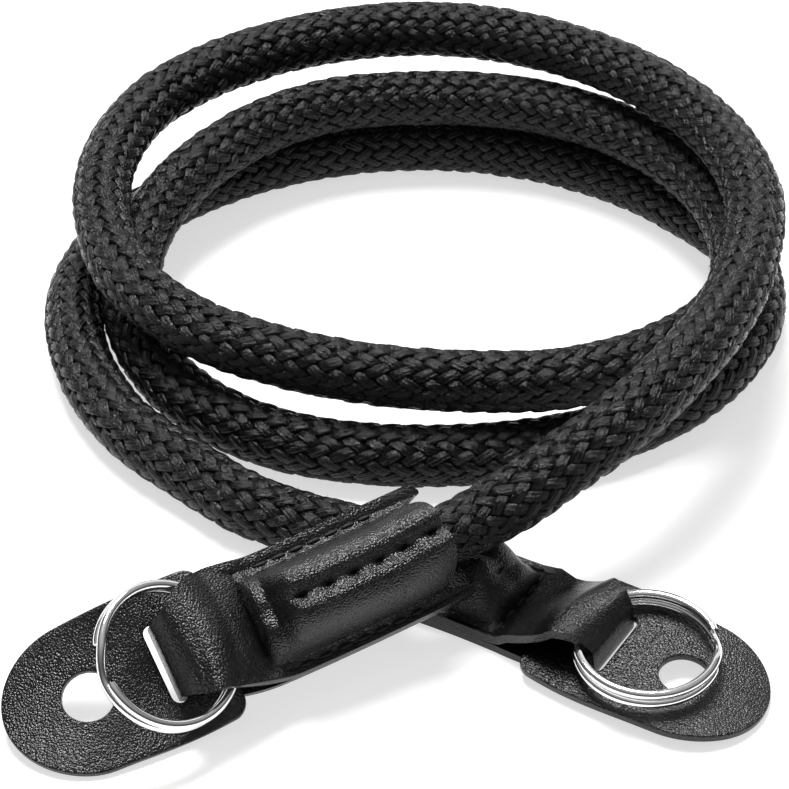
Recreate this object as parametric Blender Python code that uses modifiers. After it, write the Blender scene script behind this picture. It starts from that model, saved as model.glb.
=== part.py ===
"""Coiled rope camera strap: three loose turns of braided rope, and at each end a folded leather
tab, a leather guard and a split ring.

Metres, +Z up, the floor at z = 0. The leather ends lie in front at -Y and the coil behind them.
"""
from math import cos, pi, radians, sin

import bmesh
import bpy
from mathutils import Matrix, Vector

MM = 0.001

# Clearance between pieces that touch
GAP = 0.3 * MM

# Rope: its own diameter, and its share of that where the leather squeezes it
ROPE_D = 10.0 * MM
ROPE_IN_TAB = 0.64
ROPE_AT_MOUTH = 0.82
ROPE_SIDES = 12

# Leather, used for tabs and guards alike
LEATHER = 1.3 * MM

# Guard: flat paddle with one straight end and one round end
GUARD_LENGTH = 33.0 * MM
GUARD_WIDTH = 23.2 * MM
GUARD_CORNER = 2.5 * MM
GUARD_HOLE = 7.5 * MM
GUARD_HOLE_FROM_END = 20.7 * MM
GUARD_SEAT = 8.7 * MM  # from the slit to the straight end
SLIT_SLACK = 0.6 * MM  # more room on the slit's outer side
SLIT_END_ROOM = 0.5 * MM

# Tab: one strip folded round the ring, its two layers sewn together with the rope between them
TAB_LENGTH = 40.0 * MM  # from the fold to the mouth that the rope leaves by
FOLD_WIDTH = 11.0 * MM
TAB_WIDTH = 18.2 * MM
WIDENING = 14.0 * MM  # length over which the strip widens
NECK = 15.2 * MM  # from the fold to the seam that closes the loop
END_WALL = 3.0 * MM  # length over which the channel rises behind that seam
MOUTH_FLARE = 7.0 * MM  # length over which the channel opens toward the rope
MOUTH_ROOM = 0.4 * MM
CHANNEL_WIDTH = 12.2 * MM  # middle of one side wall to middle of the other
RIDGE_RISE = 0.8 * MM  # the two ridges above the sewn groove
FOLD_RADIUS = 1.0 * MM
ROPE_END = 19.6 * MM  # from the fold to the rope's hidden end

# Split ring: a wire wound twice, with a step where it changes sides
RING_OD = 21.8 * MM
WIRE_D = 1.4 * MM
COIL_GAP = 0.25 * MM
RING_STEP = radians(34)
RING_POINTS_PER_TURN = 40

# Coil of rope: its middle on the floor and its usual reach
COIL_CENTRE = (6.8 * MM, 93.0 * MM)
COIL_REACH = 52.0 * MM
COIL_STEP = 18  # degrees between the rope's points

# Angle from the right, counterclockwise seen from above; reach as a share of COIL_REACH;
# height in layers of rope, where 0 lies on the floor
COIL = (
    (-30, 1.127, 1.98),
    (0, 1.012, 2.00), (30, 0.929, 1.99), (60, 0.912, 1.94), (90, 0.948, 1.87),
    (120, 1.000, 1.75), (150, 1.090, 1.56), (180, 1.077, 1.37), (210, 1.033, 1.19),
    (240, 0.927, 1.07), (270, 0.904, 1.01), (300, 1.000, 1.00), (330, 1.065, 1.00),
    (360, 0.981, 1.00), (390, 0.883, 1.00), (420, 0.804, 1.00), (450, 0.760, 1.00),
    (480, 0.790, 1.00), (510, 0.846, 0.88), (540, 0.952, 0.55), (570, 1.040, 0.15),
    (600, 1.050, 0.00), (630, 1.021, 0.00), (660, 1.056, 0.00), (690, 1.094, 0.00),
    (720, 1.075, 0.00), (750, 0.906, 0.00), (780, 0.804, 0.00), (810, 0.775, 0.00),
    (840, 0.815, 0.00), (870, 0.942, 0.00), (900, 1.142, 0.00), (930, 1.260, 0.00),
    (960, 1.348, 0.00),
)

# The rope's points between each tab's mouth and the coil, in mm
LEAD_A = ((12.6, 9.9, 16.4), (19.3, 13.6, 18.2), (25.3, 17.6, 20.4), (33.0, 23.0, 23.0),
          (41.7, 32.3, 24.8), (51.6, 48.2, 25.3))
LEAD_B = ((-21.5, 27.3, 5.1), (-13.7, 23.4, 5.0))

# How each end lies: where its fold is, in mm, and its heading, rise and roll in degrees at
# distances in mm from the fold, minus toward the guard's tip and plus toward the rope
END_A = {
    "fold": (-31.7, -10.7, 6.8),
    "pose": ((-24, 28, 20, 12), (-10, 22, 15, 28), (0, 25, 10, 39),
             (9, 18, 12.5, 31), (17, 24, 10, 33), (41, 38, -2, 32)),
    "ring": (-0.6, 0.1, 8.6),
    "ring_tilt": (21.0, 3.0),
}
END_B = {
    "fold": (32.5, -2.4, 1.6),
    "pose": ((-24, 148, 14, 3), (-10, 149, 4, -4), (0, 145, -1, -7),
             (9, 139, -3, -4), (16, 147, -4, -1), (20, 149, 0, 0), (24, 150.5, 0, 0),
             (41, 158, 0, 0)),
    "ring": (-6.1, 0.4, 4.3),
    "ring_tilt": (-3.0, -3.0),
}

# Side view of the loop over the ring: share of NECK from the fold, then height over the
# bottom layer as a share of LOOP_RISE, at end A and at end B
LOOP_RISE = 9.2 * MM
LOOP = (
    (0.00, 0.46, 0.46),
    (0.01, 0.61, 0.61),
    (0.05, 0.73, 0.74),
    (0.12, 0.83, 0.84),
    (0.22, 0.92, 0.90),
    (0.34, 0.98, 0.87),
    (0.47, 1.00, 0.72),
    (0.60, 0.97, 0.49),
    (0.70, 0.87, 0.38),
    (0.79, 0.62, 0.29),
    (0.86, 0.37, 0.22),
    (0.93, 0.20, 0.185),
)

# Half of the top layer's section over the rope: share of half the channel's width, share of
# the flange beyond it, share of the rise from flange to ridge
SECTION = (
    (0.00, 0.0, 0.90),
    (0.30, 0.0, 0.94),
    (0.56, 0.0, 1.00),
    (0.79, 0.0, 0.96),
    (0.94, 0.0, 0.79),
    (1.00, 0.0, 0.47),
    (1.02, 0.0, 0.15),
    (1.06, 0.2, 0.01),
    (1.00, 1.0, 0.00),
)


def smooth(x):
    """Ease from 0 to 1."""
    x = min(max(x, 0.0), 1.0)
    return x * x * (3 - 2 * x)


def between(rows, x, column):
    """Read a table's column at x on a smooth curve through its rows."""
    last = len(rows) - 1
    i = max(k for k in range(last) if rows[k][0] <= x or k == 0)

    def slope(k):
        a, b = rows[max(k - 1, 0)], rows[min(k + 1, last)]
        return (b[column] - a[column]) / (b[0] - a[0])

    span = rows[i + 1][0] - rows[i][0]
    t = (x - rows[i][0]) / span
    return ((2 * t**3 - 3 * t**2 + 1) * rows[i][column]
            + (t**3 - 2 * t**2 + t) * span * slope(i)
            + (3 * t**2 - 2 * t**3) * rows[i + 1][column]
            + (t**3 - t**2) * span * slope(i + 1))


# How an end lies

def axes(heading, rise, roll):
    """Along, across and up, as the columns of a matrix."""
    along = Vector((cos(heading) * cos(rise), sin(heading) * cos(rise), sin(rise)))
    level = Vector((-sin(heading), cos(heading), 0))
    upright = along.cross(level)
    across = level * cos(roll) + upright * sin(roll)
    return Matrix((along, across, along.cross(across))).transposed()


class Lie:
    """The bent sheet that an end's leather follows, read in millimetre steps from its fold."""

    def __init__(self, end):
        self.first = -26
        steps = range(self.first, 47)
        self.axes = []
        for step in steps:
            angles = [radians(between(end["pose"], step, column)) for column in (1, 2, 3)]
            self.axes.append(axes(*angles))
        fold = Vector(end["fold"]) * MM
        zero = -self.first
        self.points = [fold.copy() for step in steps]
        for i in range(zero + 1, len(steps)):
            way = (self.axes[i - 1].col[0] + self.axes[i].col[0]).normalized()
            self.points[i] = self.points[i - 1] + way * MM
        for i in range(zero - 1, -1, -1):
            way = (self.axes[i + 1].col[0] + self.axes[i].col[0]).normalized()
            self.points[i] = self.points[i + 1] - way * MM

    def place(self, along, across, up):
        """World point for a point of the flat end; up is from the bottom layer's middle."""
        x = along / MM - self.first
        i = min(max(int(x), 0), len(self.points) - 2)
        t = x - i
        frame = self.axes[i].lerp(self.axes[i + 1], t)
        point = self.points[i].lerp(self.points[i + 1], t)
        return point + frame.col[1] * across + frame.col[2] * up

    def frame(self):
        """The frame at the fold."""
        zero = -self.first
        return Matrix.Translation(self.points[zero]) @ self.axes[zero].to_4x4()


# Materials

def make_material(name, colour, roughness, metallic):
    material = bpy.data.materials.new(name)
    material.use_nodes = True
    surface = material.node_tree.nodes["Principled BSDF"]
    surface.inputs["Base Color"].default_value = (*colour, 1)
    surface.inputs["Roughness"].default_value = roughness
    surface.inputs["Metallic"].default_value = metallic
    material.diffuse_color = (*colour, 1)
    return material


def add_object(name, data, material, collection):
    thing = bpy.data.objects.new(name, data)
    thing.data.materials.append(material)
    collection.objects.link(thing)
    return thing


def add_tube(name, points, radii, diameter, sides, material, collection):
    """A closed tube through points, with each point's share of the diameter."""
    curve = bpy.data.curves.new(name, "CURVE")
    curve.dimensions = "3D"
    curve.bevel_depth = diameter / 2
    curve.bevel_resolution = sides // 2 - 2
    curve.render_resolution_u = 0
    curve.use_fill_caps = True
    spline = curve.splines.new("POLY")
    spline.points.add(len(points) - 1)
    for target, point, share in zip(spline.points, points, radii):
        target.co = (*point, 1)
        target.radius = share
    return add_object(name, curve, material, collection)


# Guard

def arc(centre, radius, start, end, count):
    """Points of an arc, both ends included, with angles in units of a half turn."""
    angles = [pi * (start + (end - start) * i / count) for i in range(count + 1)]
    return [(centre[0] + radius * cos(a), centre[1] + radius * sin(a)) for a in angles]


def guard_outlines():
    """The guard's outline, slit and hole, seen from above with the slit's fold at 0."""
    half = GUARD_WIDTH / 2
    end = GUARD_SEAT
    inner = end - GUARD_CORNER
    shoulder = half - GUARD_CORNER
    tip_centre = end - GUARD_LENGTH + half
    outline = (arc((inner, -shoulder), GUARD_CORNER, -0.5, 0, 3)
               + arc((inner, shoulder), GUARD_CORNER, 0, 0.5, 3)
               + arc((tip_centre, 0), half, 0.5, 1.5, 16))
    near = LEATHER / 2 + GAP
    far = -near - SLIT_SLACK
    reach = FOLD_WIDTH / 2 + SLIT_END_ROOM
    slit = [(near, -reach), (near, reach), (far, reach), (far, -reach)]
    hole = arc((end - GUARD_HOLE_FROM_END, 0), GUARD_HOLE / 2, 0, 2, 20)[:-1]
    return outline, slit, hole


def add_guard(name, lie, material, collection):
    curve = bpy.data.curves.new(name + "_outline", "CURVE")
    curve.dimensions = "2D"
    curve.fill_mode = "BOTH"
    curve.extrude = LEATHER / 2
    for outline in guard_outlines():
        spline = curve.splines.new("POLY")
        spline.points.add(len(outline) - 1)
        for target, point in zip(spline.points, outline):
            target.co = (*point, 0, 1)
        spline.use_cyclic_u = True
    flat = bpy.data.objects.new(name + "_flat", curve)
    collection.objects.link(flat)
    bpy.context.view_layer.update()
    mesh = bpy.data.meshes.new_from_object(flat.evaluated_get(bpy.context.evaluated_depsgraph_get()))
    bpy.data.objects.remove(flat)
    mesh.name = name

    # Cut across into strips, so that the plate can bend
    plate = bmesh.new()
    plate.from_mesh(mesh)
    bmesh.ops.remove_doubles(plate, verts=plate.verts, dist=GAP / 100)
    strips = 8
    for i in range(1, strips):
        cut = (GUARD_SEAT - GUARD_LENGTH * i / strips, 0, 0)
        everything = plate.verts[:] + plate.edges[:] + plate.faces[:]
        bmesh.ops.bisect_plane(plate, geom=everything, plane_co=cut, plane_no=(1, 0, 0))
    bmesh.ops.recalc_face_normals(plate, faces=plate.faces)
    middle = LEATHER + GAP
    for vertex in plate.verts:
        x, y, z = vertex.co
        vertex.co = lie.place(x, y, z + middle)
    plate.to_mesh(mesh)
    plate.free()
    return add_object(name, mesh, material, collection)


# Tab

def half_width(along):
    """Half of the strip's width at a distance from the fold."""
    left = 1 - min(max(along / WIDENING, 0.0), 1.0)
    return FOLD_WIDTH / 2 + (TAB_WIDTH - FOLD_WIDTH) / 2 * (1 - left * left)


def flare(along):
    """How far the channel has opened toward its mouth, from 0 to 1."""
    return smooth((along - TAB_LENGTH + MOUTH_FLARE) / MOUTH_FLARE)


def rope_share(along):
    """The rope's diameter along the tab as a share of its free one."""
    return ROPE_IN_TAB + (ROPE_AT_MOUTH - ROPE_IN_TAB) * flare(along)


def rope_height(along):
    """Middle of the rope above the middle of the bottom layer."""
    return LEATHER / 2 + GAP + ROPE_D * rope_share(along) / 2


def strip_rows(column):
    """The strip's side view from the bottom mouth round the fold to the top mouth.

    Each row is the distance from the fold, the height, and how far the channel has risen.
    """
    flange = LEATHER + GAP
    shares = (1, 0.87, 0.74, 0.61, 0.49, 0.38, 0.28, 0.19, 0.11, 0.055)
    rows = [(TAB_LENGTH * share, 0, 0) for share in shares]
    rows += [(FOLD_RADIUS, 0, 0), (0.3 * FOLD_RADIUS, 0.3 * FOLD_RADIUS, 0), (0, FOLD_RADIUS, 0)]
    rows += [(0, 0.28 * LOOP_RISE, 0)]
    rows += [(NECK * row[0], LOOP_RISE * row[column], 0) for row in LOOP]
    rows += [(NECK, flange, 0)]
    wall = (0.2, 0.4, 0.6, 0.8, 1.0)
    rows += [(NECK + END_WALL * share, flange, smooth(share)) for share in wall]
    start = NECK + END_WALL
    straight = TAB_LENGTH - MOUTH_FLARE - start
    rows += [(start + straight * share, flange, 1) for share in (0.25, 0.5, 0.75, 1)]
    rows += [(start + straight + MOUTH_FLARE * share, flange, 1) for share in (0.33, 0.67, 1)]
    return rows


def add_tab(name, lie, column, material, collection):
    sides = [(-1, row) for row in reversed(SECTION[1:])] + [(1, row) for row in SECTION]
    channel = CHANNEL_WIDTH / 2
    flange_width = (TAB_WIDTH - CHANNEL_WIDTH) / 2
    rows = strip_rows(column)
    strip = bmesh.new()
    grid = []
    for along, height, risen in rows:
        narrow = half_width(along) / (TAB_WIDTH / 2)
        rise = GAP + ROPE_D * rope_share(along) + RIDGE_RISE + MOUTH_ROOM * flare(along)
        line = []
        for side, (inner, outer, lift) in sides:
            across = side * (channel * inner + flange_width * outer) * narrow
            up = height + risen * rise * lift
            line.append(strip.verts.new(lie.place(along, across, up)))
        grid.append(line)
    for a, b in zip(grid[:-1], grid[1:]):
        for i in range(len(sides) - 1):
            strip.faces.new((a[i], a[i + 1], b[i + 1], b[i]))
    mesh = bpy.data.meshes.new(name)
    strip.to_mesh(mesh)
    strip.free()
    tab = add_object(name, mesh, material, collection)
    shell = tab.modifiers.new("thickness", "SOLIDIFY")
    shell.thickness = LEATHER
    shell.offset = 0
    shell.use_even_offset = True
    return tab


# Split ring

def ring_points():
    """Two turns of wire on a circle about Z, stepping from the upper turn to the lower."""
    radius = (RING_OD - WIRE_D) / 2
    rise = (WIRE_D + COIL_GAP) / 2
    count = 2 * RING_POINTS_PER_TURN
    points = []
    for i in range(count + 1):
        angle = RING_STEP + (4 * pi - RING_STEP) * i / count
        side = 1 - 2 * smooth((angle - 2 * pi) / RING_STEP)
        points.append((radius * cos(angle), radius * sin(angle), side * rise))
    return points


def add_ring(name, end, lie, turned, material, collection):
    points = ring_points()
    ring = add_tube(name, points, [1] * len(points), WIRE_D, 8, material, collection)
    tilt, roll = [radians(angle) for angle in end["ring_tilt"]]
    seat = Matrix.Translation(Vector(end["ring"]) * MM)
    lean = Matrix.Rotation(tilt, 4, "Y") @ Matrix.Rotation(-roll, 4, "X")
    ring.matrix_world = lie.frame() @ seat @ lean @ Matrix.Rotation(radians(turned), 4, "Z")
    return ring


# Rope

def coil_points():
    """The coil's points, read from its table every COIL_STEP degrees."""
    points = []
    for angle in range(COIL[0][0], COIL[-1][0] + 1, COIL_STEP):
        reach = COIL_REACH * between(COIL, angle, 1)
        layer = between(COIL, angle, 2)
        points.append((COIL_CENTRE[0] + reach * cos(radians(angle)),
                       COIL_CENTRE[1] + reach * sin(radians(angle)),
                       ROPE_D / 2 + layer * (ROPE_D + GAP)))
    return points


def add_rope(name, lie_a, lie_b, material, collection):
    inside = [ROPE_END + (TAB_LENGTH - ROPE_END) * share for share in (0, 0.34, 0.67, 0.85, 1)]
    end_a = [lie_a.place(along, 0, rope_height(along)) for along in inside]
    end_b = [lie_b.place(along, 0, rope_height(along)) for along in inside]
    squeezed = [rope_share(along) for along in inside]
    lead_a = [Vector(point) * MM for point in LEAD_A]
    lead_b = [Vector(point) * MM for point in LEAD_B]
    free = lead_a + coil_points() + lead_b
    points = end_a + free + end_b[::-1]
    radii = squeezed + [0.95] + [1] * (len(free) - 2) + [0.97] + squeezed[::-1]
    return add_tube(name, points, radii, ROPE_D, ROPE_SIDES, material, collection)


def main():
    for old in list(bpy.data.objects):
        bpy.data.objects.remove(old)
    collection = bpy.data.collections.new("coiled_rope_camera_strap")
    bpy.context.scene.collection.children.link(collection)

    rope = make_material("black_braid", (0.012, 0.012, 0.013), 0.62, 0)
    leather = make_material("black_leather", (0.010, 0.010, 0.011), 0.38, 0)
    chrome = make_material("chrome", (0.80, 0.80, 0.82), 0.12, 1)

    lie_a = Lie(END_A)
    lie_b = Lie(END_B)
    add_rope("braided_rope", lie_a, lie_b, rope, collection)
    add_tab("leather_tab_a", lie_a, 1, leather, collection)
    add_tab("leather_tab_b", lie_b, 2, leather, collection)
    add_guard("camera_guard_a", lie_a, leather, collection)
    add_guard("camera_guard_b", lie_b, leather, collection)
    add_ring("split_ring_a", END_A, lie_a, 150, chrome, collection)
    add_ring("split_ring_b", END_B, lie_b, 195, chrome, collection)


main()
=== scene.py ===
"""Coiled rope camera strap: braided rope, grained leather ends with their stitching, leather
guards and plated split rings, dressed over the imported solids.

Metres, +Z up, the floor at z = 0. The leather ends lie in front at -Y and the coil behind them.
"""
from math import atan2, cos, pi, radians, sin, sqrt

import bmesh
import bpy
import numpy as np
from mathutils import Matrix, Vector


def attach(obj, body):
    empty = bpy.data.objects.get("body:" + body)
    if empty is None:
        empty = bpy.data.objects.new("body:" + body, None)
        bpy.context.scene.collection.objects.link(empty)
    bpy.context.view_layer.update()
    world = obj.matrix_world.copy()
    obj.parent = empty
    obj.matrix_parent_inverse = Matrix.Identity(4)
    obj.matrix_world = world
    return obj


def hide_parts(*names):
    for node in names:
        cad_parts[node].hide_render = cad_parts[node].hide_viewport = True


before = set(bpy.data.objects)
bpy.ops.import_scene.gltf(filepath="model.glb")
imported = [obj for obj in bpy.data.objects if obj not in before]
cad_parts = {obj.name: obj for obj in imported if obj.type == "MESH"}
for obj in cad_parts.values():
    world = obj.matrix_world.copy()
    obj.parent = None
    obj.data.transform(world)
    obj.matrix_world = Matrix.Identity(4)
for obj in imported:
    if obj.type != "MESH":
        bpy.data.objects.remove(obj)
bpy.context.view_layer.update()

MM = 0.001
SEED = 7

# Sizes shared with the solids
LEATHER = 1.3 * MM
ROPE_D = 10.0 * MM
ROPE_GAP = 0.3 * MM
ROPE_IN_TAB = 0.64
ROPE_AT_MOUTH = 0.82
GUARD_LENGTH = 33.0 * MM
GUARD_WIDTH = 23.2 * MM
GUARD_CORNER = 2.5 * MM
GUARD_HOLE = 7.5 * MM
GUARD_HOLE_FROM_END = 20.7 * MM
GUARD_SEAT = 8.7 * MM
SLIT_SLACK = 0.6 * MM
SLIT_END_ROOM = 0.5 * MM
TAB_LENGTH = 40.0 * MM
FOLD_WIDTH = 11.0 * MM
TAB_WIDTH = 18.2 * MM
WIDENING = 14.0 * MM
MOUTH_FLARE = 7.0 * MM
MOUTH_ROOM = 0.4 * MM
CHANNEL_WIDTH = 12.2 * MM
RIDGE_RISE = 0.8 * MM
FOLD_RADIUS = 1.0 * MM
ROPE_END = 19.6 * MM
LOOP_RISE = 9.2 * MM
RING_OD = 21.8 * MM
WIRE_D = 1.4 * MM
COIL_GAP = 0.25 * MM
RING_STEP = radians(34)

# Lengths of the scene's own
END_WALL = 6.0 * MM  # length over which the channel rises behind the seam
LAYER_GAP = 0.06 * MM  # between the two layers of a flange
EDGE_ROUND = 0.28 * MM  # rounding of a guard's edges

# The rope's coil: angle, reach as a share of COIL_REACH, height in layers of rope. Two turns
# at the left lie up to 1.1 mm nearer to each other than in the solids.
COIL_CENTRE = (6.8 * MM, 93.0 * MM)
COIL_REACH = 52.0 * MM
COIL_STEP = 18
COIL = (
    (-30, 1.127, 1.98),
    (0, 1.012, 2.00), (30, 0.929, 1.99), (60, 0.912, 1.94), (90, 0.948, 1.87),
    (120, 1.000, 1.75), (150, 1.090, 1.56), (180, 1.077, 1.37), (210, 1.033, 1.19),
    (240, 0.927, 1.07), (270, 0.904, 1.01), (300, 1.000, 1.00), (330, 1.065, 1.00),
    (360, 0.981, 1.00), (390, 0.883, 1.00), (420, 0.804, 1.00), (450, 0.760, 1.00),
    (480, 0.790, 1.00), (510, 0.846, 0.88), (540, 0.955, 0.55), (570, 1.048, 0.15),
    (600, 1.056, 0.00), (630, 1.021, 0.00), (660, 1.056, 0.00), (690, 1.094, 0.00),
    (720, 1.075, 0.00), (750, 0.906, 0.00), (780, 0.804, 0.00), (810, 0.775, 0.00),
    (840, 0.815, 0.00), (870, 0.942, 0.00), (900, 1.136, 0.00), (930, 1.247, 0.00),
    (960, 1.335, 0.00),
)
LEAD_A = ((12.6, 9.9, 16.4), (19.3, 13.6, 18.2), (25.3, 17.6, 20.4), (33.0, 23.0, 23.0),
          (41.7, 32.3, 24.8), (51.6, 48.2, 25.3))
LEAD_B = ((-21.5, 27.3, 5.1), (-13.7, 23.4, 5.0))
LEAVING_A = 0.95  # share of the rope's diameter at its first free point
LEAVING_B = 0.97  # and at its last

# How each end lies: its fold, and heading, rise and roll at distances from the fold. Then its
# ring's middle, tilt and turn, and the strip's own shape: from the fold to the seam (neck) and
# to the mouth (reach), wider flanges (spread), longer corners at the mouth, and the loop over
# the ring with its sides drawn back (bow) and one side higher (lean).
END_A = {
    "fold": (-31.7, -10.7, 6.8),
    "pose": ((-24, 28, 20, 12), (-10, 22, 15, 28), (0, 25, 10, 39),
             (9, 18, 12.5, 31), (17, 24, 10, 33), (41, 38, -2, 32)),
    "ring": (-0.45, 0.3, 8.6),
    "ring_tilt": (22.5, 0.0),
    "turned": 150,
    "neck": 13.6 * MM,
    "reach": 40.8 * MM,
    "spread": (0.0, 0.8 * MM),
    "corners": 5.0 * MM,
    "bow": 1.2 * MM,
    "lean": -0.06,
}
END_B = {
    "fold": (32.5, -2.4, 1.6),
    "pose": ((-24, 148, 14, 3), (-10, 149, 4, -4), (0, 145, -1, -7),
             (9, 139, -3, -4), (16, 147, -4, -1), (20, 149, 0, 0), (24, 150.5, 0, 0),
             (41, 158, 0, 0)),
    "ring": (-6.2, 0.0, 4.5),
    "ring_tilt": (-2.6, -4.2),
    "turned": 195,
    "neck": 16.6 * MM,
    "reach": 38.2 * MM,
    "spread": (0.0, 0.0),
    "corners": 0.0,
    "bow": 1.6 * MM,
    "lean": 0.15,
}

# Side view of the loop over the ring: share of the way from the fold to the seam, then
# shares of LOOP_RISE at ends A and B
LOOP = (
    (0.00, 0.46, 0.42),
    (0.01, 0.60, 0.56),
    (0.05, 0.74, 0.65),
    (0.12, 0.86, 0.76),
    (0.22, 0.93, 0.79),
    (0.34, 0.95, 0.76),
    (0.41, 0.96, 0.67),
    (0.48, 0.94, 0.56),
    (0.60, 0.84, 0.42),
    (0.70, 0.70, 0.32),
    (0.79, 0.60, 0.245),
    (0.86, 0.51, 0.200),
    (0.93, 0.42, 0.170),
    (1.00, 0.34, 0.157),
    (1.06, 0.27, 0.151),
    (1.13, 0.20, 0.148),
    (1.22, 0.16, 0.148),
)

# Half of the top layer's section over the rope: share of half the channel's width, share of
# the flange, share of the rise
SECTION = (
    (0.00, 0.0, 0.93),
    (0.08, 0.0, 0.935),
    (0.18, 0.0, 0.96),
    (0.30, 0.0, 0.985),
    (0.41, 0.0, 0.98),
    (0.53, 0.0, 0.93),
    (0.65, 0.0, 0.85),
    (0.76, 0.0, 0.73),
    (0.86, 0.0, 0.57),
    (0.94, 0.0, 0.39),
    (1.00, 0.0, 0.20),
    (1.04, 0.05, 0.05),
    (1.04, 0.22, 0.01),
    (1.02, 0.5, 0.0),
    (1.00, 1.0, 0.00),
)

# The channel's closed end: distance from the seam in mm, share of the rise
END_RISE = (
    (0.0, 0.00), (0.4, 0.20), (0.8, 0.38), (1.3, 0.48), (2.0, 0.53), (2.8, 0.57),
    (3.6, 0.70), (4.4, 0.85), (5.2, 0.95), (6.0, 1.00),
)


# Camera

PITCH = 37  # degrees below level
LENS = 123.3  # mm
CAMERA_PLACE = (0.8 * MM, -295.8 * MM, 270.0 * MM)


def in_scene(name, data):
    """A new object, linked to the scene."""
    made = bpy.data.objects.new(name, data)
    bpy.context.scene.collection.objects.link(made)
    return made


def add_camera():
    """Looks down from in front, from the photograph's viewpoint."""
    camera = bpy.data.cameras.new("camera")
    camera.sensor_width = 36
    camera.lens = LENS
    camera.clip_end = 20
    holder = in_scene("camera", camera)
    holder.location = CAMERA_PLACE
    holder.rotation_euler = (radians(90 - PITCH), 0, 0)
    bpy.context.scene.camera = holder


# Curves and frames

def smooth(x):
    """Ease from 0 to 1."""
    x = min(max(x, 0.0), 1.0)
    return x * x * (3 - 2 * x)


def hermite(t, span, start, start_slope, stop, stop_slope):
    """A smooth curve between two values with given slopes, at a share t of the span."""
    return ((2 * t**3 - 3 * t**2 + 1) * start + (t**3 - 2 * t**2 + t) * span * start_slope
            + (3 * t**2 - 2 * t**3) * stop + (t**3 - t**2) * span * stop_slope)


def between(rows, x, column):
    """Read a table's column at x on a smooth curve through its rows."""
    last = len(rows) - 1
    i = max(k for k in range(last) if rows[k][0] <= x or k == 0)

    def slope(k):
        """Slope at a row, read from its neighbours."""
        a, b = rows[max(k - 1, 0)], rows[min(k + 1, last)]
        return (b[column] - a[column]) / (b[0] - a[0])

    span = rows[i + 1][0] - rows[i][0]
    share = (x - rows[i][0]) / span
    return hermite(share, span, rows[i][column], slope(i), rows[i + 1][column], slope(i + 1))


FINE_STEPS = 32  # between two given points, before the line is cut into even steps


def resample(points, step, size=3):
    """Points at even steps on a smooth line through the given ones.

    size is how many of a point's numbers count as its place.
    """
    rows = np.array([tuple(point) for point in points], float)
    reach = np.sqrt(np.linalg.norm(np.diff(rows[:, :size], axis=0), axis=1))
    knots = np.concatenate(([0.0], np.cumsum(reach)))
    slopes = np.gradient(rows, knots, axis=0)
    shares = np.linspace(0, 1, FINE_STEPS + 1)[:-1, None]
    fine = []
    for i in range(len(rows) - 1):
        span = knots[i + 1] - knots[i]
        fine.append(hermite(shares, span, rows[i], slopes[i], rows[i + 1], slopes[i + 1]))
    fine = np.concatenate(fine + [rows[-1:]])
    run = np.linalg.norm(np.diff(fine[:, :size], axis=0), axis=1)
    along = np.concatenate(([0.0], np.cumsum(run)))
    count = max(int(round(along[-1] / step)), 1)
    even = np.linspace(0, along[-1], count + 1)
    return np.stack([np.interp(even, along, fine[:, k]) for k in range(rows.shape[1])], axis=1)


def axes(heading, rise, roll):
    """Along, across and up, as the columns of a matrix."""
    along = Vector((cos(heading) * cos(rise), sin(heading) * cos(rise), sin(rise)))
    level = Vector((-sin(heading), cos(heading), 0))
    upright = along.cross(level)
    across = level * cos(roll) + upright * sin(roll)
    return Matrix((along, across, along.cross(across))).transposed()


class Lie:
    """The bent sheet that an end's leather follows, read in millimetre steps from its fold."""

    first, last = -26, 46

    def __init__(self, end):
        steps = range(self.first, self.last + 1)
        self.axes = []
        for step in steps:
            angles = [radians(between(end["pose"], step, column)) for column in (1, 2, 3)]
            self.axes.append(axes(*angles))
        fold = Vector(end["fold"]) * MM
        zero = -self.first
        self.points = [fold.copy() for step in steps]
        for i in range(zero + 1, len(steps)):
            way = (self.axes[i - 1].col[0] + self.axes[i].col[0]).normalized()
            self.points[i] = self.points[i - 1] + way * MM
        for i in range(zero - 1, -1, -1):
            way = (self.axes[i + 1].col[0] + self.axes[i].col[0]).normalized()
            self.points[i] = self.points[i + 1] - way * MM

    def place(self, along, across, up):
        """World point for a point of the flat end; up is from the bottom layer's middle."""
        x = along / MM - self.first
        i = min(max(int(x), 0), len(self.points) - 2)
        t = x - i
        turn = self.axes[i].lerp(self.axes[i + 1], t)
        point = self.points[i].lerp(self.points[i + 1], t)
        return point + turn.col[1] * across + turn.col[2] * up

    def frame(self):
        """The frame at the fold."""
        zero = -self.first
        return Matrix.Translation(self.points[zero]) @ self.axes[zero].to_4x4()


# Rope's route

def flare(along):
    """How far the channel has opened toward its mouth, from 0 to 1."""
    return smooth((along - TAB_LENGTH + MOUTH_FLARE) / MOUTH_FLARE)


def rope_share(along):
    """The rope's diameter along the tab as a share of its free one."""
    return ROPE_IN_TAB + (ROPE_AT_MOUTH - ROPE_IN_TAB) * flare(along)


def rope_height(along):
    """Middle of the rope above the middle of the bottom layer."""
    return LEATHER / 2 + ROPE_GAP + ROPE_D * rope_share(along) / 2


def coil_points():
    """The coil's points, read from its table every COIL_STEP degrees."""
    points = []
    for angle in range(COIL[0][0], COIL[-1][0] + 1, COIL_STEP):
        reach = COIL_REACH * between(COIL, angle, 1)
        layer = between(COIL, angle, 2)
        points.append((COIL_CENTRE[0] + reach * cos(radians(angle)),
                       COIL_CENTRE[1] + reach * sin(radians(angle)),
                       ROPE_D / 2 + layer * (ROPE_D + ROPE_GAP)))
    return points


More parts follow.
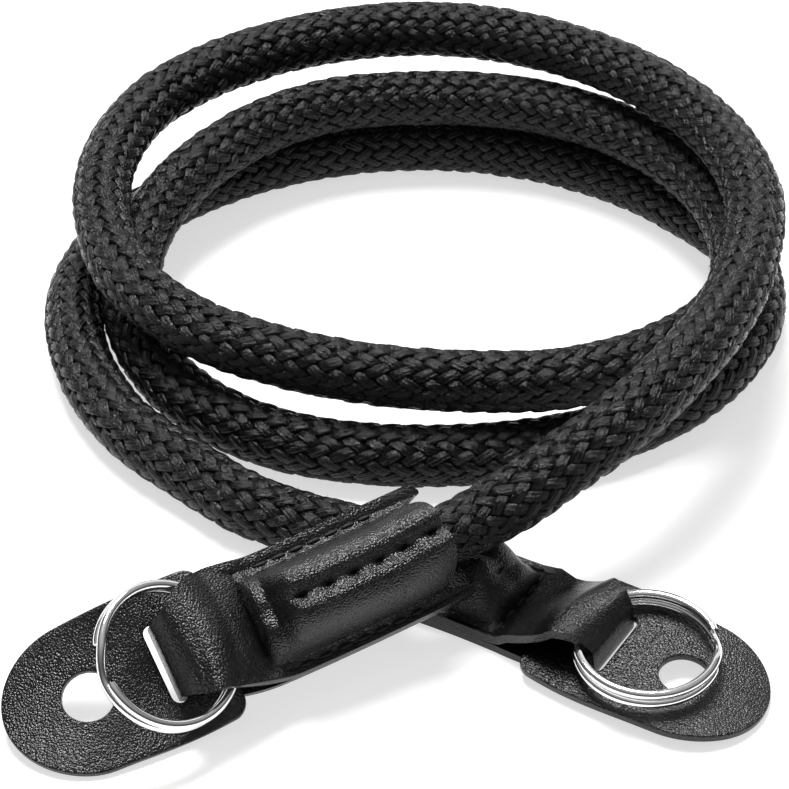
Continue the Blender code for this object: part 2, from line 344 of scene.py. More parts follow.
def rope_route(lie_a, lie_b):
    """Rows of x, y, z and share of the diameter, from the hidden end in A to the one in B."""
    inside = [ROPE_END + (TAB_LENGTH - ROPE_END) * share for share in (0, 0.34, 0.67, 0.85, 1)]
    end_a = [lie_a.place(along, 0, rope_height(along)) for along in inside]
    end_b = [lie_b.place(along, 0, rope_height(along)) for along in inside]
    squeezed = [rope_share(along) for along in inside]
    lead_a = [Vector(point) * MM for point in LEAD_A]
    lead_b = [Vector(point) * MM for point in LEAD_B]
    free = lead_a + coil_points() + lead_b
    points = end_a + free + end_b[::-1]
    radii = squeezed + [LEAVING_A] + [1] * (len(free) - 2) + [LEAVING_B] + squeezed[::-1]
    return [(*point, share) for point, share in zip(points, radii)]


# Materials

def new_material(name, colour, roughness, metallic=0.0, specular=0.5):
    """A plain material with its node tree and its surface node."""
    material = bpy.data.materials.new(name)
    material.use_nodes = True
    surface = material.node_tree.nodes["Principled BSDF"]
    surface.inputs["Base Color"].default_value = (*colour, 1)
    surface.inputs["Roughness"].default_value = roughness
    surface.inputs["Metallic"].default_value = metallic
    surface.inputs["Specular IOR Level"].default_value = specular
    material.diffuse_color = (*colour, 1)
    return material, material.node_tree, surface


def node(tree, kind, **sockets):
    """A new node with values on its sockets."""
    made = tree.nodes.new(kind)
    for name, value in sockets.items():
        made.inputs[name.replace("_", " ")].default_value = value
    return made


def object_place(tree):
    """Place on the object."""
    return tree.nodes.new("ShaderNodeTexCoord").outputs["Object"]


def pattern(tree, kind, place, **sockets):
    """A texture node that is read at a place."""
    made = node(tree, kind, **sockets)
    tree.links.new(place, made.inputs["Vector"])
    return made


def add_bump(tree, surface, height, strength, distance):
    """Relief from a height, put on a surface."""
    bump = node(tree, "ShaderNodeBump", Strength=strength, Distance=distance)
    tree.links.new(height, bump.inputs["Height"])
    tree.links.new(bump.outputs["Normal"], surface.inputs["Normal"])


def mix_colours(tree, factor, dark, light, low, high):
    """A colour ramp driven by a factor."""
    ramp = tree.nodes.new("ShaderNodeValToRGB")
    ramp.color_ramp.elements[0].position = low
    ramp.color_ramp.elements[0].color = (*dark, 1)
    ramp.color_ramp.elements[1].position = high
    ramp.color_ramp.elements[1].color = (*light, 1)
    tree.links.new(factor, ramp.inputs["Fac"])
    return ramp.outputs["Color"]


def leather_material():
    """Black pebbled leather: cells of about a third of a millimetre with fine pores."""
    material, tree, surface = new_material("black_leather_grain", (0.010, 0.010, 0.011), 0.32)
    place = object_place(tree)
    warp = pattern(tree, "ShaderNodeTexNoise", place, Scale=900, Detail=2.0)
    shift = node(tree, "ShaderNodeVectorMath")
    shift.operation = "MULTIPLY_ADD"
    shift.inputs[1].default_value = (0.0002, 0.0002, 0.0002)
    tree.links.new(warp.outputs["Color"], shift.inputs[0])
    tree.links.new(place, shift.inputs[2])
    cells = pattern(tree, "ShaderNodeTexVoronoi", shift.outputs["Vector"], Scale=3300)
    cells.feature = "SMOOTH_F1"
    cells.inputs["Smoothness"].default_value = 0.2
    pores = pattern(tree, "ShaderNodeTexNoise", place, Scale=5200, Detail=3.0, Roughness=0.6)
    height = node(tree, "ShaderNodeMath")
    height.operation = "MULTIPLY_ADD"
    height.inputs[1].default_value = 0.35
    tree.links.new(pores.outputs["Fac"], height.inputs[0])
    low = node(tree, "ShaderNodeMath")
    low.operation = "SUBTRACT"
    low.inputs[0].default_value = 1.0
    tree.links.new(cells.outputs["Distance"], low.inputs[1])
    tree.links.new(low.outputs[0], height.inputs[2])
    add_bump(tree, surface, height.outputs[0], 1.0, 0.12 * MM)
    wear = pattern(tree, "ShaderNodeTexNoise", place, Scale=160, Detail=3.0)
    colour = mix_colours(tree, wear.outputs["Fac"], (0.002, 0.002, 0.0023),
                         (0.004, 0.004, 0.0044), 0.3, 0.7)
    tree.links.new(colour, surface.inputs["Base Color"])
    gloss = node(tree, "ShaderNodeMapRange", From_Min=0.3, From_Max=0.7, To_Min=0.22, To_Max=0.30)
    tree.links.new(wear.outputs["Fac"], gloss.inputs["Value"])
    tree.links.new(gloss.outputs["Result"], surface.inputs["Roughness"])
    return material


def edge_material():
    """The leather's cut edge: painted dark grey over fibres."""
    material, tree, surface = new_material("black_leather_edge", (0.035, 0.035, 0.036), 0.62)
    fibres = pattern(tree, "ShaderNodeTexNoise", object_place(tree), Scale=2600, Detail=4.0,
                     Roughness=0.65)
    add_bump(tree, surface, fibres.outputs["Fac"], 0.6, 0.12 * MM)
    colour = mix_colours(tree, fibres.outputs["Fac"], (0.020, 0.020, 0.021),
                         (0.055, 0.055, 0.057), 0.3, 0.75)
    tree.links.new(colour, surface.inputs["Base Color"])
    return material


def braid_material():
    """Bundles of fine black filaments; the pattern runs along each bundle's own map."""
    material, tree, surface = new_material("black_braid_filaments", (0.008, 0.008, 0.009), 0.20,
                                           specular=0.31)
    source = tree.nodes.new("ShaderNodeUVMap")
    source.uv_map = "filaments"
    mapping = tree.nodes.new("ShaderNodeMapping")
    mapping.inputs["Scale"].default_value = (0.9, 3.0, 1)
    tree.links.new(source.outputs["UV"], mapping.inputs["Vector"])
    lines = pattern(tree, "ShaderNodeTexNoise", mapping.outputs["Vector"], Scale=1.0, Detail=3.0,
                    Roughness=0.6)
    add_bump(tree, surface, lines.outputs["Fac"], 1.0, 0.40 * MM)
    colour = mix_colours(tree, lines.outputs["Fac"], (0.0006, 0.0006, 0.0007),
                         (0.004, 0.004, 0.0044), 0.3, 0.72)
    tree.links.new(colour, surface.inputs["Base Color"])
    return material


def core_material():
    """Dull, nearly black, seen only between the bundles."""
    material, tree, surface = new_material("black_braid_core", (0.004, 0.004, 0.005), 0.9)
    lumps = pattern(tree, "ShaderNodeTexNoise", object_place(tree), Scale=1500, Detail=2.0)
    add_bump(tree, surface, lumps.outputs["Fac"], 0.5, 0.10 * MM)
    return material


def thread_material():
    """Waxed black sewing thread with a slanted twist."""
    material, tree, surface = new_material("black_thread", (0.010, 0.010, 0.011), 0.55,
                                           specular=0.3)
    twist = pattern(tree, "ShaderNodeTexWave", object_place(tree), Scale=1100, Distortion=1.5)
    twist.bands_direction = "DIAGONAL"
    add_bump(tree, surface, twist.outputs["Fac"], 0.5, 0.08 * MM)
    return material


def chrome_material():
    """Bright plated wire with faint rubbing marks."""
    material, tree, surface = new_material("chrome_wire", (0.93, 0.93, 0.94), 0.10, metallic=1.0)
    rubs = pattern(tree, "ShaderNodeTexNoise", object_place(tree), Scale=700, Detail=4.0,
                   Roughness=0.6)
    gloss = node(tree, "ShaderNodeMapRange", From_Min=0.3, From_Max=0.75, To_Min=0.06, To_Max=0.17)
    tree.links.new(rubs.outputs["Fac"], gloss.inputs["Value"])
    tree.links.new(gloss.outputs["Result"], surface.inputs["Roughness"])
    add_bump(tree, surface, rubs.outputs["Fac"], 0.12, 0.05 * MM)
    return material


# Pieces

def add_piece(name, data, materials, replaced=()):
    """A visible piece on the part's one body."""
    piece = in_scene(name, data)
    for material in materials:
        piece.data.materials.append(material)
    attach(piece, "root")
    if replaced:
        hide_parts(*replaced)
    return piece


def finish_mesh(mesh, angle):
    """Smooth shading, with sharp edges above an angle in degrees."""
    for face in mesh.polygons:
        face.use_smooth = True
    mesh.set_sharp_from_angle(angle=radians(angle))


def final_mesh(holder):
    """The finished mesh of a passing object, which is removed."""
    bpy.context.view_layer.update()
    ready = holder.evaluated_get(bpy.context.evaluated_depsgraph_get())
    mesh = bpy.data.meshes.new_from_object(ready)
    bpy.data.objects.remove(holder)
    return mesh


# Braid

LINE_STEP = 0.6 * MM
CORE_STEP = 3.0 * MM

# Sixteen bundles each way, two over and two under, so that the bundles on top lie in rows along
# the rope, slanting one way and the other in turn
BUNDLES = 16
LEAD = 57.6 * MM  # length in which a bundle goes once round the rope
HALF_LENGTH = 1.27  # of a bundle's visible part, in crossings
HALF_WIDTH = 0.97 * MM
BUNDLE_BOW = 0.10 * MM  # how far a bundle's middle lies beside the line of its ends
BRAID_TOP = 5.06 * MM  # from the rope's middle to the top of a bundle
BRAID_DROP = 0.80 * MM  # how far its ends dip under its neighbours
DROP_POWER = 3.2
BUNDLE_ROUND = 0.47 * MM  # how far its long sides fall away
PLIES = 3
PLY_GROOVE = 0.15 * MM
CORE_SHARE = 0.86  # the core's diameter as a share of the rope's
FIBRES = 320
FIBRE_RADIUS = 0.022 * MM
FIBRE_MARGIN = 30 * MM  # of the rope at each end that has none
FIBRE_REACH = (0.6, 2.4)  # shortest and longest, in mm
FIBRE_LIFT = (0.12, 0.55)  # lowest and highest, in mm
FIBRE_DEPTH = 0.25 * MM  # of a fibre's ends in the braid
FIBRE_FLOOR = 0.05 * MM  # lowest a fibre may lie


def rope_line(route):
    """The rope's middle line at even steps with a frame that doesn't twist."""
    rows = resample(route, LINE_STEP)
    places, shares = rows[:, :3], rows[:, 3]
    ways = np.gradient(places, axis=0)
    ways /= np.linalg.norm(ways, axis=1)[:, None]
    sides = np.zeros_like(ways)
    side = np.cross(ways[0], (0, 0, 1))
    for i, way in enumerate(ways):
        side = side - way * side.dot(way)
        side = side / np.linalg.norm(side)
        sides[i] = side
    tops = np.cross(sides, ways)
    run = np.concatenate(([0.0], np.cumsum(np.linalg.norm(np.diff(places, axis=0), axis=1))))
    return {"run": run, "places": places, "shares": shares, "sides": sides, "tops": tops}


def on_rope(line, x, turn, radius):
    """World points at distance x along the rope, angle turn round it and radius from its middle."""
    def read(values):
        """A row of three values at each distance along the rope."""
        return np.stack([np.interp(x, line["run"], values[:, k]) for k in range(3)], axis=-1)

    reach = (radius * np.interp(x, line["run"], line["shares"]))[..., None]
    return (read(line["places"]) + read(line["sides"]) * (np.cos(turn)[..., None] * reach)
            + read(line["tops"]) * (np.sin(turn)[..., None] * reach))


def add_braid(name, line, sign, material):
    """The visible parts of the bundles that wind one way, each a low rounded leaf."""
    chance = np.random.default_rng(SEED + sign)
    step = LEAD / (2 * BUNDLES)
    length = line["run"][-1]
    repeats = int(length / (2 * step)) - 1
    first = 0.5 if sign > 0 else 1.5
    q = np.arange(repeats) * 2 + first + 0.4
    p = np.arange(BUNDLES // 2) * 4 + (0.5 if sign > 0 else 2.5)
    q, p = [grid.ravel() for grid in np.meshgrid(q, p)]
    count = len(q)
    along = np.linspace(-1, 1, 5)
    over = np.linspace(-1, 1, 3 * PLIES + 1)
    a, b = np.meshgrid(along, over, indexing="ij")
    a = a[None] * np.ones((count, 1, 1))
    b = b[None] * np.ones((count, 1, 1))

    def jitter(size):
        """A random change for each bundle."""
        return chance.normal(0, size, (count, 1, 1))

    half = HALF_LENGTH + jitter(0.03)
    width = HALF_WIDTH + jitter(0.04) * MM
    girth = pi * ROPE_D
    side_step = girth / (2 * BUNDLES)
    slant = atan2(side_step, step)
    skew = slant + jitter(0.035)
    x_mid = q[:, None, None] * step + jitter(0.07) * MM
    y_mid = p[:, None, None] * side_step + jitter(0.06) * MM
    reach = half * sqrt(step**2 + side_step**2)
    bow = BUNDLE_BOW * (1 - a * a) * sign
    x = x_mid + a * reach * np.cos(skew) - sign * (b * width + bow) * np.sin(skew)
    y = y_mid + sign * a * reach * np.sin(skew) + (b * width + bow) * np.cos(skew)
    fall = BUNDLE_ROUND * (1 - np.sqrt(np.maximum(1 - 0.97 * b * b, 0)))
    plies = PLY_GROOVE * (np.abs(np.sin(pi * PLIES * (b + 1) / 2)) - 1) * (1 + jitter(0.25))
    radius = (BRAID_TOP + jitter(0.045) * MM + jitter(0.05) * MM * b
              - BRAID_DROP * np.abs(a) ** DROP_POWER - fall + plies)
    places = on_rope(line, x, 2 * pi * y / girth, radius)

    across = len(over)
    size = len(along) * across
    corner = np.array([i * across + j for i in range(len(along) - 1) for j in range(across - 1)])
    quad = np.stack([corner, corner + across, corner + across + 1, corner + 1], axis=1)
    if sign < 0:
        quad = quad[:, ::-1]
    faces = (quad[None] + (np.arange(count) * size)[:, None, None]).reshape(-1, 4)
    mesh = bpy.data.meshes.new(name)
    mesh.from_pydata(places.reshape(-1, 3).tolist(), [], faces.tolist())
    layer = mesh.uv_layers.new(name="filaments")
    shift = chance.uniform(0, 50, (count, 1, 1))
    u = (a * reach / MM + shift).reshape(-1)
    v = (b * width / MM + shift * 3).reshape(-1)
    flat = faces.reshape(-1)
    layer.data.foreach_set("uv", np.stack([u[flat], v[flat]], axis=1).astype(np.float32).ravel())
    finish_mesh(mesh, 180)
    return add_piece(name, mesh, [material])


def add_core(route, material):
    """The dark core that closes the braid's openings; its line is the rope's own."""
    rows = resample(route, CORE_STEP)
    curve = bpy.data.curves.new("rope_core", "CURVE")
    curve.dimensions = "3D"
    curve.bevel_depth = CORE_SHARE * ROPE_D / 2
    curve.bevel_resolution = 6
    curve.use_fill_caps = True
    spline = curve.splines.new("POLY")
    spline.points.add(len(rows) - 1)
    for target, row in zip(spline.points, rows):
        target.co = (*row[:3], 1)
        target.radius = row[3]
    return add_piece("rope_core", curve, [material], ["braided_rope"])


def add_fibres(line, material):
    """Fine filaments that have worked loose from the braid."""
    chance = np.random.default_rng(SEED + 40)
    curve = bpy.data.curves.new("loose_fibres", "CURVE")
    curve.dimensions = "3D"
    curve.bevel_depth = FIBRE_RADIUS
    curve.bevel_resolution = 0
    length = line["run"][-1]
    for x in chance.uniform(FIBRE_MARGIN, length - FIBRE_MARGIN, FIBRES):
        turn = chance.uniform(0, 2 * pi)
        reach = chance.uniform(*FIBRE_REACH) * MM
        lift = chance.uniform(*FIBRE_LIFT) * MM
        way = chance.uniform(-1, 1)
        t = np.linspace(0, 1, 7)
        xs = x + reach * (t - 0.5) * way
        turns = turn + reach / (ROPE_D / 2) * (t - 0.5) * sqrt(1 - way * way)
        radii = ROPE_D / 2 - FIBRE_DEPTH + lift * np.sin(pi * t * chance.uniform(0.6, 1.0))
        spline = curve.splines.new("POLY")
        spline.points.add(len(t) - 1)
        for target, place in zip(spline.points, on_rope(line, xs, turns, radii)):
            place[2] = max(place[2], FIBRE_FLOOR)
            target.co = (*place, 1)
    return add_piece("loose_fibres", curve, [material])


# Guards

GUARD_ROWS = 44
GUARD_COLUMNS = 24


def arc(centre, radius, start, end, count):
    """Points of an arc, both ends included, with angles in units of a half turn."""
    angles = [pi * (start + (end - start) * i / count) for i in range(count + 1)]
    return [(centre[0] + radius * cos(a), centre[1] + radius * sin(a)) for a in angles]


def guard_outlines():
    """The guard's outline, slit and hole, seen from above with the slit's fold at 0."""
    half = GUARD_WIDTH / 2
    end = GUARD_SEAT
    inner = end - GUARD_CORNER
    shoulder = half - GUARD_CORNER
    tip_centre = end - GUARD_LENGTH + half
    outline = (arc((inner, -shoulder), GUARD_CORNER, -0.5, 0, 8)
               + arc((inner, shoulder), GUARD_CORNER, 0, 0.5, 8)
               + arc((tip_centre, 0), half, 0.5, 1.5, 60))
    near = LEATHER / 2 + ROPE_GAP
    far = -near - SLIT_SLACK
    reach = FOLD_WIDTH / 2 + SLIT_END_ROOM
    middle, round_end = (near + far) / 2, (near - far) / 2
    slit = (arc((middle, reach - round_end), round_end, 0, 1, 8)
            + arc((middle, round_end - reach), round_end, 1, 2, 8))
    hole = arc((end - GUARD_HOLE_FROM_END, 0), GUARD_HOLE / 2, 0, 2, 56)[:-1]
    return outline, slit, hole


def add_guard(name, lie, leather, edge, replaced):
    """A bent leather plate with a slit, a round hole and a cut edge."""
    curve = bpy.data.curves.new(name + "_outline", "CURVE")
    curve.dimensions = "2D"
    curve.fill_mode = "BOTH"
    curve.extrude = LEATHER / 2
    for outline in guard_outlines():
        spline = curve.splines.new("POLY")
        spline.points.add(len(outline) - 1)
        for target, point in zip(spline.points, outline):
            target.co = (*point, 0, 1)
        spline.use_cyclic_u = True
    mesh = final_mesh(in_scene(name + "_flat", curve))

    plate = bmesh.new()
    plate.from_mesh(mesh)
    bmesh.ops.remove_doubles(plate, verts=plate.verts, dist=0.002 * MM)
    bmesh.ops.dissolve_limit(plate, angle_limit=radians(1), verts=plate.verts[:],
                             edges=plate.edges[:])
    bmesh.ops.recalc_face_normals(plate, faces=plate.faces)
    rim = [e for e in plate.edges if len(e.link_faces) == 2 and e.calc_face_angle(0) > radians(60)
           and abs(e.verts[0].co.z - e.verts[1].co.z) < 0.1 * MM]
    bmesh.ops.bevel(plate, geom=rim, offset=EDGE_ROUND, segments=3, affect="EDGES", profile=0.5)
    for face in plate.faces:
        face.material_index = 1 if abs(face.normal.z) < 0.75 else 0
    lengthwise = [((GUARD_SEAT - GUARD_LENGTH * i / GUARD_ROWS, 0, 0), (1, 0, 0))
                  for i in range(1, GUARD_ROWS)]
    crosswise = [((0, GUARD_WIDTH * (i / GUARD_COLUMNS - 0.5), 0), (0, 1, 0))
                 for i in range(1, GUARD_COLUMNS)]
    for cut, way in lengthwise + crosswise:
        everything = plate.verts[:] + plate.edges[:] + plate.faces[:]
        bmesh.ops.bisect_plane(plate, geom=everything, plane_co=cut, plane_no=way)
    bmesh.ops.triangulate(plate, faces=[f for f in plate.faces if len(f.verts) > 4])
    middle = LEATHER + ROPE_GAP
    for vertex in plate.verts:
        x, y, z = vertex.co
        vertex.co = lie.place(x, y, z + middle)
    plate.to_mesh(mesh)
    plate.free()
    mesh.name = name
    mesh.materials.clear()
    finish_mesh(mesh, 50)
    return add_piece(name, mesh, [leather, edge], replaced)


# Tabs

SECTION_WEIGHTS = (6, 3, 7)  # how closely the columns follow each share of the section
SECTION_STEP = 0.38
RISE_WEIGHT = 8 * MM  # how closely the rows follow the channel's closed end
ROW_STEP = 0.42 * MM
CORNER_LENGTH = 12 * MM  # of the strip before the mouth, in which its corners get longer
FOLD_REACH = 0.2 * MM  # the strip turns into its top layer this near the fold
OVER_RING = 0.2 * LOOP_RISE  # and above this height
LOOP_START = 4 * MM  # from the fold, over which the loop's bow and lean begin
LOOP_STOP = (2 * MM, 6 * MM)  # they end this far beyond the neck, over this length


def half_width(along):
    """Half of the strip's width at a distance from the fold."""
    left = 1 - min(max(along / WIDENING, 0.0), 1.0)
    return FOLD_WIDTH / 2 + (TAB_WIDTH - FOLD_WIDTH) / 2 * (1 - left * left)


def strip_rows(end, column):
    """The strip's side view from the bottom mouth round the fold to the top mouth.

    Each row is the distance from the fold, the height, and how far the channel has risen.
    """
    flange = LEATHER + LAYER_GAP
    neck, reach = end["neck"], end["reach"]
    shares = (1, 0.87, 0.74, 0.61, 0.49, 0.38, 0.28, 0.19, 0.11, 0.055)
    rows = [(reach * share, 0, 0) for share in shares]
    rows += [(FOLD_RADIUS, 0, 0), (0.3 * FOLD_RADIUS, 0.3 * FOLD_RADIUS, 0), (0, FOLD_RADIUS, 0)]
    rows += [(0, 0.28 * LOOP_RISE, 0)]
    rows += [(neck * row[0], LOOP_RISE * row[column], 0) for row in LOOP if row[0] < 1]

    def settled(along):
        """Height to which the top layer has come down behind the loop."""
        return max(LOOP_RISE * between(LOOP, min(along / neck, LOOP[-1][0]), column), flange)

    rows += [(neck + x * MM, settled(neck + x * MM), share) for x, share in END_RISE]
    start = neck + END_WALL
    straight = reach - MOUTH_FLARE - start
    rows += [(start + straight * share, flange, 1) for share in (0.25, 0.5, 0.75, 1)]
    rows += [(start + straight + MOUTH_FLARE * share, flange, 1) for share in (0.33, 0.67, 1)]
    return rows


# Pits and seams pressed into the top layer

PITS = 6
FIRST_PIT = 0.6 * MM  # beyond the channel's closed end
LAST_PIT = 1.6 * MM  # before the mouth
PIT_DEPTH = 1.45 * MM
PIT_SIZE = 1.0 * MM
PIT_NARROWING = 1.4  # how much sooner a pit ends across the strip
PINCH_DEPTH = 0.4 * MM  # where the two ridges meet the closed end
PINCH_PLACE = 4.3 * MM  # from the neck's end
PINCH_HALF = (0.9 * MM, 3.5 * MM)  # along and across
SEAM_SIZE = 0.55 * MM
SEAM_DEPTH = 0.28 * MM
EDGE_SEAM = 1.9 * MM  # from the channel's foot to the stitches beside it
SEAM_BACK = 0.4 * MM  # the seam across lies this far before the neck's end
SEAM_START = 2 * MM  # the edge seams are pressed in from this far before it


def pit_places(end):
    """Distances from the fold of the pits in the groove between the ridges."""
    first = end["neck"] + END_WALL + FIRST_PIT
    last = end["reach"] - LAST_PIT
    return [first + (last - first) * i / (PITS - 1) for i in range(PITS)]


def pressed(end, along, across, risen):
    """How far stitching pulls the top layer in."""
    depth = 0.0
    neck = end["neck"]
    for place in pit_places(end):
        gap = ((along - place) ** 2 + across**2 * PIT_NARROWING) / PIT_SIZE**2
        depth += PIT_DEPTH * np.exp(-gap) * risen
    seam = CHANNEL_WIDTH / 2 + EDGE_SEAM
    if along > neck - SEAM_START:
        depth += SEAM_DEPTH * np.exp(-((abs(across) - seam) / SEAM_SIZE) ** 2)
    pinch = ((along - neck - PINCH_PLACE) / PINCH_HALF[0]) ** 2 + (across / PINCH_HALF[1]) ** 2
    depth += PINCH_DEPTH * np.exp(-pinch) * risen
    if abs(across) < seam:
        depth += SEAM_DEPTH * np.exp(-((along - neck + SEAM_BACK) / SEAM_SIZE) ** 2)
    return depth


def tab_surface(end, along, height, risen, row, side):
    """Place along and across the strip, and the height of its middle.

    The columns are evenly spaced where it is flat and follow the section where it has risen.
    """
    across_share, flange_share, lift, column = row
    channel = CHANNEL_WIDTH / 2
    flange_width = (TAB_WIDTH - CHANNEL_WIDTH) / 2
    narrow = half_width(along) / (TAB_WIDTH / 2)
    rise = ROPE_GAP + ROPE_D * rope_share(along) + RIDGE_RISE + MOUTH_ROOM * flare(along)
    shaped = channel * across_share + flange_width * flange_share
    even = TAB_WIDTH / 2 * column
    formed = smooth(risen * 1.5)
    out = even + (shaped - even) * formed
    outer = smooth((out - channel) / flange_width)
    out += end["spread"][side > 0] * outer * smooth(along / WIDENING)
    square = smooth(1.7 * outer) - 0.2 * smooth(4 * outer - 3)
    near_mouth = smooth((along - end["reach"] + CORNER_LENGTH) / CORNER_LENGTH)
    ahead = end["corners"] * square * near_mouth
    across = side * out * narrow
    over_ring = height > OVER_RING or risen
    left = end["neck"] + LOOP_STOP[0] - along
    loop = smooth(along / LOOP_START) * smooth(left / LOOP_STOP[1]) * over_ring
    back = end["bow"] * loop * min((across / (TAB_WIDTH / 2 - MM)) ** 2, 1.2)
    lean = end["lean"] * across * loop
    return along + ahead - back, across, height + lean + risen * rise * max(lift, 0)


def add_tab(name, lie, end, column, leather, edge, replaced):
    """The folded strip with its channel, its pressed seams and its cut edges."""
    weighted = [(*(value * weight for value, weight in zip(row, SECTION_WEIGHTS)), *row)
                for row in SECTION]
    half = resample(weighted, SECTION_STEP)[:, 3:]
    half = [(*row, i / (len(half) - 1)) for i, row in enumerate(half)]
    sides = [(-1, row) for row in half[:0:-1]] + [(1, row) for row in half]
    profile = [(row[0], row[1] + row[2] * RISE_WEIGHT, *row) for row in strip_rows(end, column)]
    rows = resample(profile, ROW_STEP, size=2)[:, 2:]
    on_top = False
    strip = bmesh.new()
    grid = []
    for along, height, risen in rows:
        on_top = on_top or (along < FOLD_REACH and height > OVER_RING)
        line = []
        for side, row in sides:
            place, across, up = tab_surface(end, along, height, risen, row, side)
            if on_top:
                up -= pressed(end, place, across, risen)
            line.append(strip.verts.new(lie.place(place, across, up)))
        grid.append(line)
    for a, b in zip(grid[:-1], grid[1:]):
        for i in range(len(sides) - 1):
            strip.faces.new((a[i], a[i + 1], b[i + 1], b[i]))
    mesh = bpy.data.meshes.new(name)
    strip.to_mesh(mesh)
    strip.free()
    mesh.materials.append(leather)
    mesh.materials.append(edge)
    sheet = in_scene(name + "_sheet", mesh)
    thick = sheet.modifiers.new("thick", "SOLIDIFY")
    thick.thickness = LEATHER
    thick.offset = 0
    thick.material_offset_rim = 1
    mesh = final_mesh(sheet)
    mesh.name = name
    mesh.materials.clear()
    finish_mesh(mesh, 55)
    return add_piece(name, mesh, [leather, edge], replaced)


# Stitches

STITCH_PITCH = 2.9 * MM
STITCH_SHARE = 0.66  # of the pitch that a stitch takes up
STITCH_HALF_WIDTH = 0.36 * MM
FIRST_STITCH = 0.5 * MM  # from the neck's end to the first stitch of an edge seam
STITCH_MARGIN = 1.2 * MM  # of an edge seam that is left without stitches
THREAD_PROUD = 0.16 * MM  # the stitches' middle above the pressed leather
CROSSING_STITCHES = 5
CROSSING_SHARE = 0.62  # of the pitch that a stitch across takes up


def add_stitches(name, lie, end, material):
    """Thread over both edge seams and the seam across."""
    stitches = bmesh.new()
    seam = CHANNEL_WIDTH / 2 + EDGE_SEAM
    flange_top = 1.5 * LEATHER + LAYER_GAP - SEAM_DEPTH + THREAD_PROUD
    neck = end["neck"]

    def sew(start, stop):
        """One stitch between two places along and across the strip."""
        a, b = lie.place(*start, flange_top), lie.place(*stop, flange_top)
        way = b - a
        size = STITCH_HALF_WIDTH
        turn = way.to_track_quat("X", "Z").to_matrix().to_4x4()
        scale = Matrix.Diagonal((way.length / 2 + size * 0.4, size, size * 0.8, 1))
        made = bmesh.ops.create_uvsphere(stitches, u_segments=12, v_segments=8, radius=1)
        upright = Matrix.Rotation(radians(90), 4, "Y")
        bmesh.ops.transform(stitches, verts=made["verts"],
                            matrix=Matrix.Translation((a + b) / 2) @ turn @ scale @ upright)

    count = int((end["reach"] - neck - STITCH_MARGIN) / STITCH_PITCH)
    for side in (-1, 1):
        for i in range(count):
            along = neck + FIRST_STITCH + STITCH_PITCH * i
            sew((along, side * seam), (along + STITCH_SHARE * STITCH_PITCH, side * seam))
    along = neck - SEAM_BACK
    reach = CROSSING_SHARE * seam / CROSSING_STITCHES
    for i in range(CROSSING_STITCHES):
        across = (i - (CROSSING_STITCHES - 1) / 2) * 2 * seam / CROSSING_STITCHES
        sew((along, across - reach), (along, across + reach))
    mesh = bpy.data.meshes.new(name)
    stitches.to_mesh(mesh)
    stitches.free()
    finish_mesh(mesh, 180)
    return add_piece(name, mesh, [material])


# Rings

RING_CUTS = 220
WIRE_SIDES = 18
WIRE_TIP = (0.82, 0.95)  # the wire's thickness at its last two cuts, as a share


def add_ring(name, end, lie, material, replaced):
    """Two turns of wire that lie on each other, with a step where they change sides."""
    radius = (RING_OD - WIRE_D) / 2
    rise = (WIRE_D + COIL_GAP) / 2
    tilt, roll = [radians(angle) for angle in end["ring_tilt"]]
    seat = Matrix.Translation(Vector(end["ring"]) * MM)
    lean = Matrix.Rotation(tilt, 4, "Y") @ Matrix.Rotation(-roll, 4, "X")
    world = lie.frame() @ seat @ lean @ Matrix.Rotation(radians(end["turned"]), 4, "Z")
    wire = bmesh.new()
    rings = []
    for i in range(RING_CUTS + 1):
        angle = RING_STEP + (4 * pi - RING_STEP) * i / RING_CUTS
        side = 1 - 2 * smooth((angle - 2 * pi) / RING_STEP)
        end_gap = min(i, RING_CUTS - i)
        share = WIRE_TIP[end_gap] if end_gap < len(WIRE_TIP) else 1
        ring = []
        for k in range(WIRE_SIDES):
            turn = 2 * pi * k / WIRE_SIDES
            out = radius + share * WIRE_D / 2 * cos(turn)
            up = side * rise + share * WIRE_D / 2 * sin(turn)
            ring.append(wire.verts.new(world @ Vector((out * cos(angle), out * sin(angle), up))))
        rings.append(ring)
    for a, b in zip(rings[:-1], rings[1:]):
        for k in range(WIRE_SIDES):
            after = (k + 1) % WIRE_SIDES
            wire.faces.new((a[k], a[after], b[after], b[k]))
    wire.faces.new(rings[0])
    wire.faces.new(rings[-1][::-1])
    bmesh.ops.recalc_face_normals(wire, faces=wire.faces)
    mesh = bpy.data.meshes.new(name)
    wire.to_mesh(mesh)
    wire.free()
    finish_mesh(mesh, 50)
    return add_piece(name, mesh, [material], replaced)


# Stage and light

FLOOR_GLOW = 0.64
FLOOR_FRONT, FLOOR_BACK, BACKDROP_TOP = -3.0, 2.2, 4.0
SWEEP = 1.2  # radius of the bend from the floor to the backdrop
SKY_SIDE = (0.06, 0.06, 0.06)
SKY_TOP = (0.45, 0.45, 0.45)

# Name, place, size and power of each lamp
LAMPS = (
    ("key", (-0.09, 0.34, 0.95), (0.42, 0.36), 15.5),
    ("back", (0.0, 1.3, 0.8), (2.0, 0.7), 0.4),
)
LAMP_TARGET = (0, 0.05, 0)


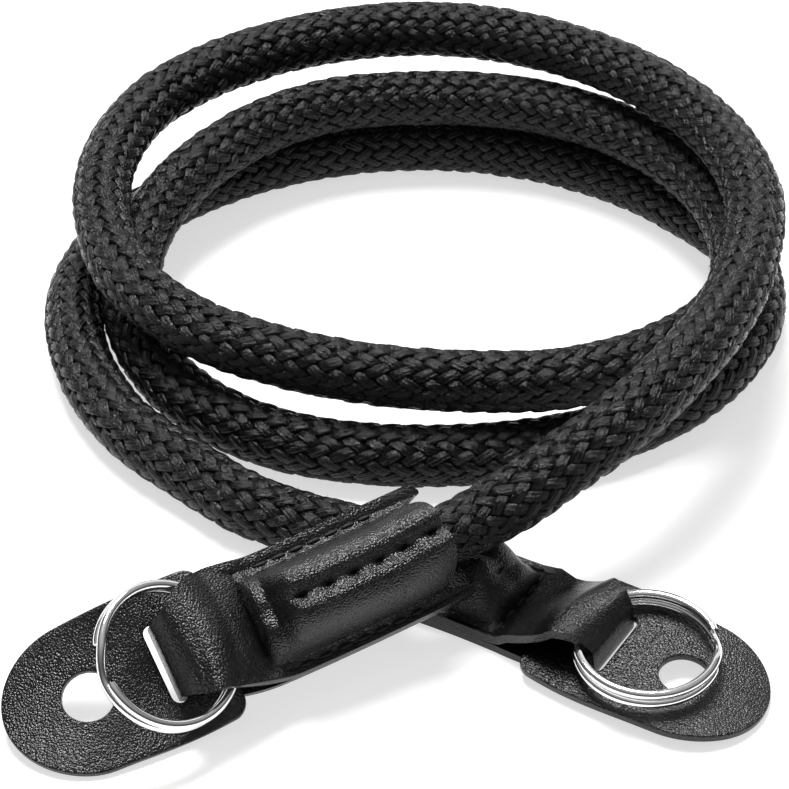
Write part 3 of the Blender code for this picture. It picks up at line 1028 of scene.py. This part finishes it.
def add_stage():
    """A pale floor that glows a little and rises into a backdrop far behind."""
    material, _, surface = new_material("pale_floor", (0.5, 0.5, 0.5), 0.9, specular=0.1)
    surface.inputs["Emission Color"].default_value = (1, 1, 1, 1)
    surface.inputs["Emission Strength"].default_value = FLOOR_GLOW
    sweep = bmesh.new()
    bends = [radians(9 * k) for k in range(1, 11)]
    profile = [(FLOOR_FRONT, 0.0), (FLOOR_BACK, 0.0)]
    profile += [(FLOOR_BACK + SWEEP * sin(a), SWEEP - SWEEP * cos(a)) for a in bends]
    profile += [(FLOOR_BACK + SWEEP, BACKDROP_TOP)]
    lines = [[sweep.verts.new((x, y, z)) for x in (-4, 4)] for y, z in profile]
    for a, b in zip(lines[:-1], lines[1:]):
        sweep.faces.new((a[0], a[1], b[1], b[0]))
    mesh = bpy.data.meshes.new("floor")
    sweep.to_mesh(mesh)
    sweep.free()
    finish_mesh(mesh, 180)
    mesh.materials.append(material)
    floor = in_scene("floor", mesh)


def add_lamp(name, place, size, power):
    """A soft rectangular lamp that looks at the strap."""
    lamp = bpy.data.lights.new(name, "AREA")
    lamp.shape = "RECTANGLE"
    lamp.size, lamp.size_y = size
    lamp.energy = power
    holder = in_scene(name, lamp)
    holder.location = place
    way = Vector(LAMP_TARGET) - Vector(place)
    holder.rotation_euler = way.to_track_quat("-Z", "Y").to_euler()


def add_lights():
    """A studio that is dark at the sides and paler overhead, with a lamp above and one behind."""
    world = bpy.data.worlds.new("studio")
    world.use_nodes = True
    tree = world.node_tree
    back = tree.nodes["Background"]
    place = tree.nodes.new("ShaderNodeTexCoord")
    height = tree.nodes.new("ShaderNodeSeparateXYZ")
    tree.links.new(place.outputs["Generated"], height.inputs[0])
    sky = mix_colours(tree, height.outputs["Z"], SKY_SIDE, SKY_TOP, 0.35, 0.98)
    tree.links.new(sky, back.inputs["Color"])
    bpy.context.scene.world = world
    for lamp in LAMPS:
        add_lamp(*lamp)
    bpy.context.scene.view_settings.view_transform = "Standard"


def main():
    """Camera and cord first, then the two ends, the floor and the light."""
    add_camera()
    lie_a, lie_b = Lie(END_A), Lie(END_B)
    route = rope_route(lie_a, lie_b)
    line = rope_line(route)
    braid = braid_material()
    core = add_core(route, core_material())
    braids = [add_braid("braid_rising", line, 1, braid),
              add_braid("braid_falling", line, -1, braid)]
    fibres = add_fibres(line, braid)
    mouth = lie_a.place(TAB_LENGTH, 0, rope_height(TAB_LENGTH))

    leather, edge, thread = leather_material(), edge_material(), thread_material()
    chrome = chrome_material()
    for letter, lie, end, column in (("a", lie_a, END_A, 1), ("b", lie_b, END_B, 2)):
        add_tab("tab_" + letter, lie, end, column, leather, edge, ["leather_tab_" + letter])
        add_stitches("stitches_" + letter, lie, end, thread)
        add_guard("guard_" + letter, lie, leather, edge, ["camera_guard_" + letter])
        add_ring("ring_" + letter, end, lie, chrome, ["split_ring_" + letter])
    add_stage()
    add_lights()


main()
